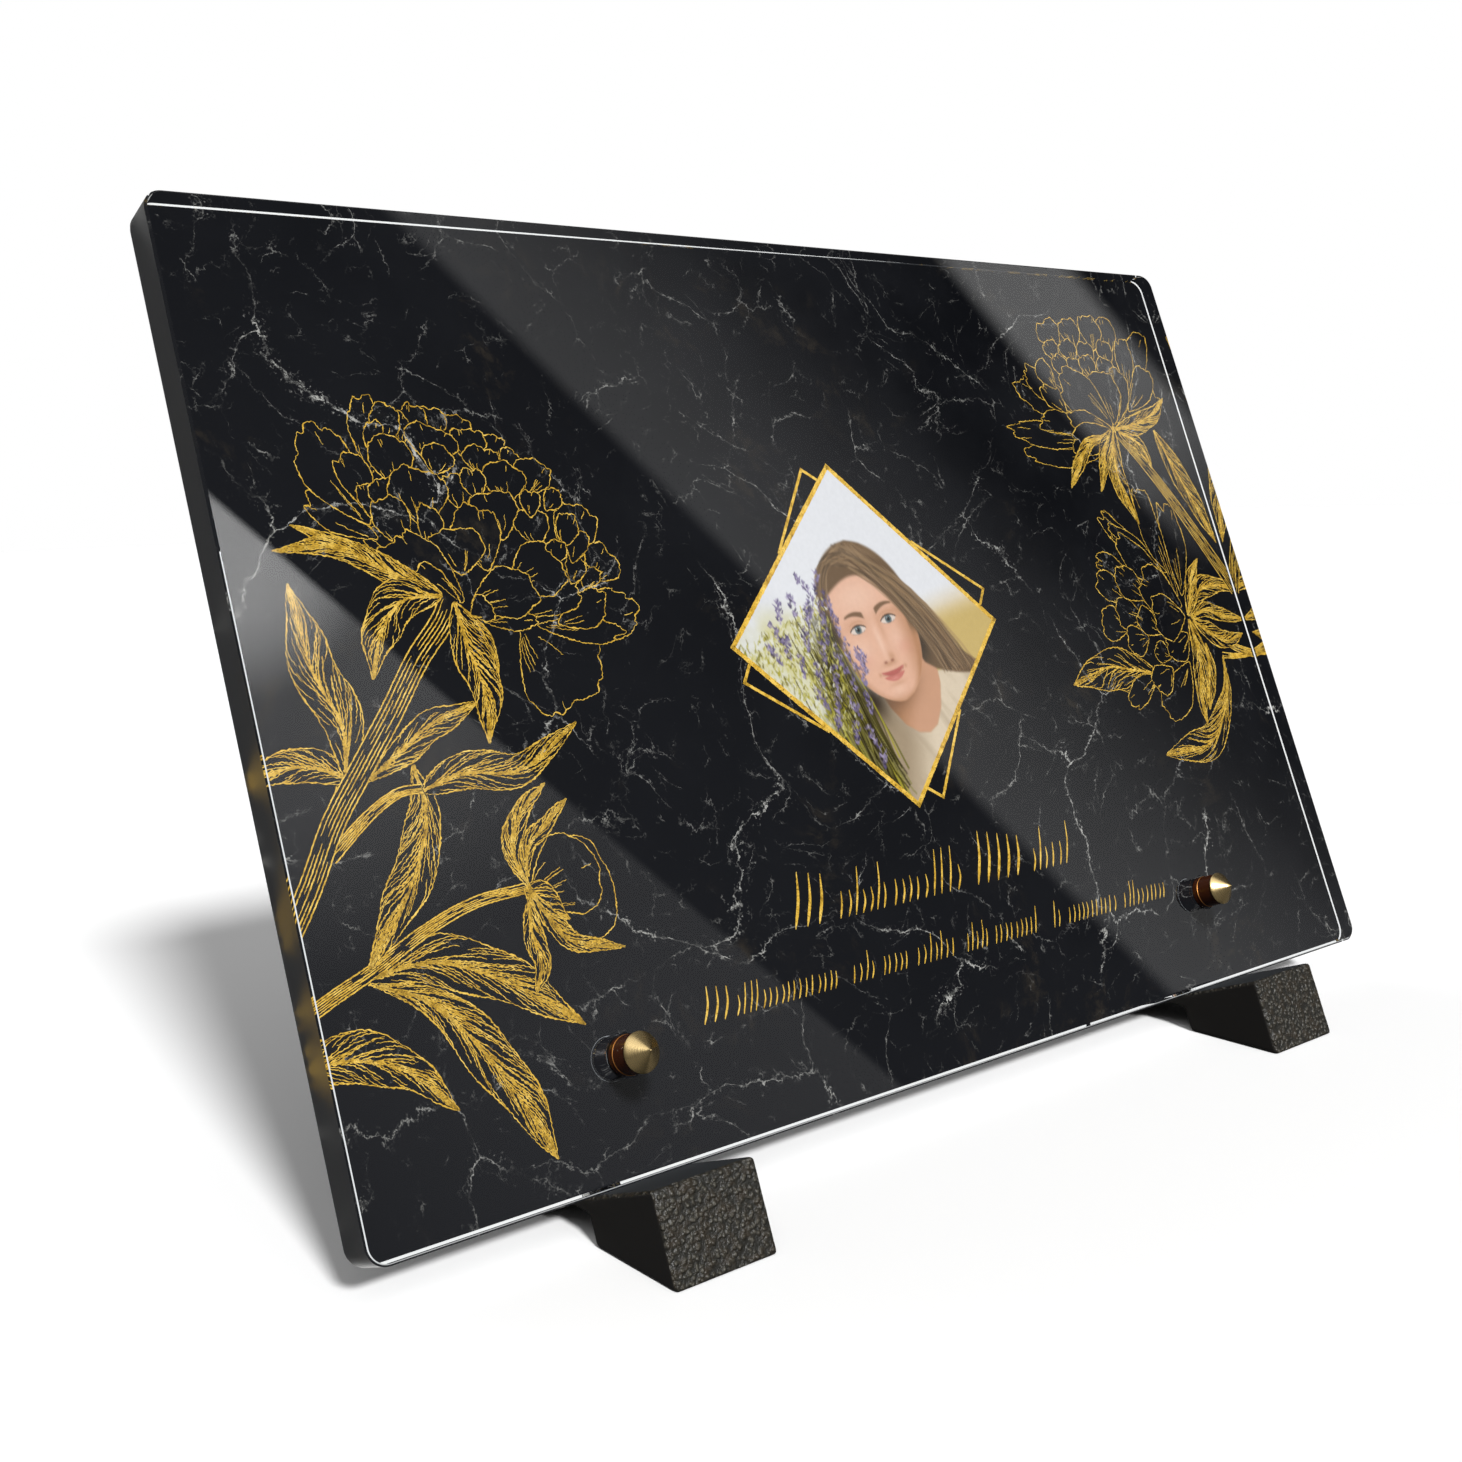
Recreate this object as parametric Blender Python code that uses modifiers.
# Grave plaque: a clear acrylic slab with a printed back, pinned to two stone feet and leaning back
# Metres, +Z up, the front faces -Y, and the origin is under the middle of the whole object

import bpy
import bmesh
from math import cos, pi, radians, sin
from mathutils import Vector

MM = 0.001

# Slab: the clear sheet and the printed film on its back
SLAB_WIDTH = 300 * MM
SLAB_HEIGHT = 200 * MM
SLAB_THICKNESS = 9.4 * MM
SLAB_CORNER_RADIUS = 4 * MM
SLAB_CORNER_SEGMENTS = 6
SLAB_CHAMFER = 0.5 * MM
FILM_THICKNESS = 0.3 * MM
FILM_INSET = 0.5 * MM
LEAN = radians(20.5)  # how far the slab leans back from upright

# Pins: brass, with a cone at the front, through the slab into the feet
PIN_DIAMETER = 8 * MM
PIN_COLLAR = 5.6 * MM  # straight part in front of the slab
PIN_CONE = 3.4 * MM
PIN_TIP_RADIUS = 0.35 * MM
PIN_SEAT_DEPTH = 9 * MM  # length held in the foot
PIN_END_CHAMFER = 0.6 * MM
PIN_SPACING = 182 * MM  # the feet stand in line with the pins
PIN_HEIGHT = 23 * MM  # above the slab's lower edge, along the slab
PIN_SIDES = 40

# Feet: one block each, with a toe in front, a ledge under the slab and a heel behind
FOOT_WIDTH = 23.6 * MM
TOE_REACH = 16.4 * MM  # in front of the slab's face
TOE_PAD = 25.3 * MM  # length of the toe's underside
ARCH_RISE = 5.7 * MM
ARCH_SPAN = 15 * MM
LEDGE_WALL = 2.3 * MM  # stone left between the ledge's inner corner and the arch
REST_ABOVE_PIN = 15 * MM  # the upright's height over the pin
UPRIGHT_TOP = 8 * MM  # depth of the upright's flat top
HEEL_REACH = 30 * MM  # behind the slab's centre of mass
HEEL_HEIGHT = 9 * MM
FOOT_BEVEL = 0.8 * MM

# Clearances
TOUCH_GAP = 0.3 * MM  # between pieces that rest on each other
PIN_CLEARANCE = 0.3 * MM  # around a pin, in the slab and in the foot
PIN_END_GAP = 0.5 * MM

slab_depth = SLAB_THICKNESS + TOUCH_GAP + FILM_THICKNESS  # front face to the film's back
rest_depth = slab_depth + TOUCH_GAP  # front face to the foot's upright
slab_lift = ARCH_RISE + LEDGE_WALL + rest_depth * sin(LEAN)  # ledge height under the slab's front edge


def remove_everything():
    for thing in list(bpy.data.objects):
        bpy.data.objects.remove(thing, do_unlink=True)


def new_collection(name):
    collection = bpy.data.collections.new(name)
    bpy.context.scene.collection.children.link(collection)
    return collection


def new_material(name, colour, roughness, metallic=0.0, transmission=0.0):
    material = bpy.data.materials.new(name)
    material.use_nodes = True
    shader = material.node_tree.nodes["Principled BSDF"]
    shader.inputs["Base Color"].default_value = (*colour, 1.0)
    shader.inputs["Roughness"].default_value = roughness
    shader.inputs["Metallic"].default_value = metallic
    shader.inputs["Transmission Weight"].default_value = transmission
    return material


def new_empty(name, collection, parent=None):
    empty = bpy.data.objects.new(name, None)
    collection.objects.link(empty)
    empty.parent = parent
    return empty


def new_object(name, mesh, collection, material, parent):
    thing = bpy.data.objects.new(name, mesh)
    collection.objects.link(thing)
    thing.parent = parent
    if material:
        mesh.materials.append(material)
    return thing


def side_point(up, out):
    """A point of the slab's own side view, in the side view of the world: up along the slab, out to the front."""
    return (up * sin(LEAN) - out * cos(LEAN), slab_lift + up * cos(LEAN) + out * sin(LEAN))


def plate_mesh(name, width, height, thickness, corner_radius):
    """An upright plate with round corners, standing on its lower edge, with its front face at y = 0."""
    plate = bmesh.new()
    bmesh.ops.create_cube(plate, size=1.0)
    for vertex in plate.verts:
        x, y, z = vertex.co
        vertex.co = (x * width, (y + 0.5) * thickness, (z + 0.5) * height)
    through = [edge for edge in plate.edges if abs((edge.verts[0].co - edge.verts[1].co).y) > thickness / 2]
    bmesh.ops.bevel(plate, geom=through, offset=corner_radius, segments=SLAB_CORNER_SEGMENTS,
                    profile=0.5, affect="EDGES", clamp_overlap=True)
    mesh = bpy.data.meshes.new(name)
    plate.to_mesh(mesh)
    plate.free()
    return mesh


def add_bevel(thing, width, segments):
    bevel = thing.modifiers.new("edges", "BEVEL")
    bevel.width = width
    bevel.segments = segments
    bevel.limit_method = "ANGLE"
    bevel.angle_limit = radians(30)


def add_cut(thing, cutter):
    cut = thing.modifiers.new("bore " + cutter.name, "BOOLEAN")
    cut.operation = "DIFFERENCE"
    cut.object = cutter
    cut.solver = "EXACT"


def add_pin_cutter(name, x, collection, parent):
    """The space of one pin with its clearance, from in front of the slab to the end of the foot's blind hole."""
    front = PIN_COLLAR
    back = rest_depth + PIN_SEAT_DEPTH + PIN_END_GAP
    mesh = bpy.data.meshes.new(name)
    cylinder = bmesh.new()
    bmesh.ops.create_cone(cylinder, cap_ends=True, segments=PIN_SIDES, depth=front + back,
                          radius1=PIN_DIAMETER / 2 + PIN_CLEARANCE, radius2=PIN_DIAMETER / 2 + PIN_CLEARANCE)
    cylinder.to_mesh(mesh)
    cylinder.free()
    cutter = new_object(name, mesh, collection, None, parent)
    cutter.rotation_euler = (pi / 2, 0, 0)
    cutter.location = (x, (back - front) / 2, PIN_HEIGHT)
    cutter.hide_render = True
    cutter.display_type = "WIRE"
    return cutter


def add_pin(name, x, collection, material, parent):
    """A turned pin: half profile from the tip down its outer side, spun about its own Z, then laid along -Y."""
    radius = PIN_DIAMETER / 2
    end = -(rest_depth + PIN_SEAT_DEPTH)
    profile = [
        (0, PIN_COLLAR + PIN_CONE),
        (PIN_TIP_RADIUS, PIN_COLLAR + PIN_CONE - PIN_TIP_RADIUS / 2),
        (radius, PIN_COLLAR),
        (radius, end + PIN_END_CHAMFER),
        (radius - PIN_END_CHAMFER, end),
        (0, end),
    ]
    half = bmesh.new()
    points = [half.verts.new((r, 0, z)) for r, z in profile]
    for first, second in zip(points, points[1:]):
        half.edges.new((first, second))
    mesh = bpy.data.meshes.new(name)
    half.to_mesh(mesh)
    half.free()
    pin = new_object(name, mesh, collection, material, parent)
    spin = pin.modifiers.new("turned", "SCREW")
    spin.axis = "Z"
    spin.angle = 2 * pi
    spin.steps = PIN_SIDES
    spin.render_steps = PIN_SIDES
    spin.use_merge_vertices = True
    spin.merge_threshold = 0.01 * MM
    spin.use_smooth_shade = True
    pin.rotation_euler = (pi / 2, 0, 0)
    pin.location = (x, 0, PIN_HEIGHT)
    return pin


def foot_outline():
    """The foot seen from its side, from the toe's lower front corner round by the ground to the ledge."""
    toe_top = side_point(0, TOE_REACH)
    toe_slope = sin(LEAN) / cos(LEAN)
    toe_front = toe_top[0] - toe_top[1] * toe_slope
    toe_back = toe_front + TOE_PAD
    heel_front = toe_back + ARCH_RISE * toe_slope + ARCH_SPAN + ARCH_RISE * toe_slope
    balance = side_point(SLAB_HEIGHT / 2, -slab_depth / 2)[0]
    heel_back = balance + HEEL_REACH
    rest_top = PIN_HEIGHT + REST_ABOVE_PIN
    return [
        (toe_front, 0),
        (toe_back, 0),
        (toe_back + ARCH_RISE * toe_slope, ARCH_RISE),
        (heel_front - ARCH_RISE * toe_slope, ARCH_RISE),
        (heel_front, 0),
        (heel_back, 0),
        (heel_back, HEEL_HEIGHT),
        side_point(rest_top, -rest_depth - UPRIGHT_TOP),
        side_point(rest_top, -rest_depth),
        side_point(-TOUCH_GAP, -rest_depth),
        side_point(-TOUCH_GAP, TOE_REACH),
    ]


def add_foot(name, x, collection, material, parent):
    """The side outline as a flat filled curve, given its width by the curve's extrude, then made a mesh."""
    curve = bpy.data.curves.new(name + "_outline", "CURVE")
    curve.dimensions = "2D"
    curve.fill_mode = "BOTH"
    curve.extrude = FOOT_WIDTH / 2
    outline = foot_outline()
    spline = curve.splines.new("POLY")
    spline.points.add(len(outline) - 1)
    for point, (y, z) in zip(spline.points, outline):
        point.co = (y, z, 0, 1)
    spline.use_cyclic_u = True
    drawn = bpy.data.objects.new(name + "_outline", curve)
    collection.objects.link(drawn)
    bpy.context.view_layer.update()
    evaluated = drawn.evaluated_get(bpy.context.evaluated_depsgraph_get())
    mesh = bpy.data.meshes.new_from_object(evaluated)
    mesh.name = name
    bpy.data.objects.remove(drawn, do_unlink=True)
    welded = bmesh.new()
    welded.from_mesh(mesh)
    bmesh.ops.remove_doubles(welded, verts=welded.verts, dist=0.01 * MM)
    bmesh.ops.dissolve_limit(welded, angle_limit=radians(1), verts=welded.verts, edges=welded.edges)
    bmesh.ops.recalc_face_normals(welded, faces=welded.faces)
    welded.to_mesh(mesh)
    welded.free()
    foot = new_object(name, mesh, collection, material, parent)
    foot.rotation_euler = (pi / 2, 0, pi / 2)
    foot.location = (x, 0, 0)
    return foot


def centre_on_ground(root, things):
    """Moves the whole object along Y so that the origin is under the middle of its box."""
    bpy.context.view_layer.update()
    depsgraph = bpy.context.evaluated_depsgraph_get()
    depths = []
    for thing in things:
        evaluated = thing.evaluated_get(depsgraph)
        depths += [(thing.matrix_world @ Vector(vertex.co)).y for vertex in evaluated.data.vertices]
    root.location.y = -(min(depths) + max(depths)) / 2
    bpy.context.view_layer.update()


def main():
    remove_everything()
    parts = new_collection("grave_plaque")
    cutters = new_collection("cutters")

    acrylic = new_material("clear acrylic", (0.86, 0.92, 0.93), 0.03, transmission=1.0)
    film = new_material("printed film", (0.012, 0.013, 0.015), 0.25)
    brass = new_material("polished brass", (0.80, 0.58, 0.22), 0.18, metallic=1.0)
    stone = new_material("dark granite", (0.075, 0.07, 0.065), 0.55)

    root = new_empty("standing_place", parts)
    lean = new_empty("leaning_plane", parts, root)
    lean.location = (0, 0, slab_lift)
    lean.rotation_euler = (-LEAN, 0, 0)

    slab = new_object("clear_slab", plate_mesh("clear_slab", SLAB_WIDTH, SLAB_HEIGHT, SLAB_THICKNESS,
                                               SLAB_CORNER_RADIUS), parts, acrylic, lean)
    add_bevel(slab, SLAB_CHAMFER, 1)
    film_mesh = plate_mesh("printed_film", SLAB_WIDTH - 2 * FILM_INSET, SLAB_HEIGHT - 2 * FILM_INSET,
                           FILM_THICKNESS, SLAB_CORNER_RADIUS - FILM_INSET)
    backing = new_object("printed_film", film_mesh, parts, film, lean)
    backing.location = (0, SLAB_THICKNESS + TOUCH_GAP, FILM_INSET)

    things = [slab, backing]
    for side, x in (("left", -PIN_SPACING / 2), ("right", PIN_SPACING / 2)):
        cutter = add_pin_cutter("pin_space_" + side, x, cutters, lean)
        foot = add_foot("foot_" + side, x, parts, stone, root)
        add_bevel(foot, FOOT_BEVEL, 2)
        pin = add_pin("pin_" + side, x, parts, brass, lean)
        for thing in (slab, backing, foot):
            add_cut(thing, cutter)
        things += [foot, pin]
    centre_on_ground(root, things)


main()
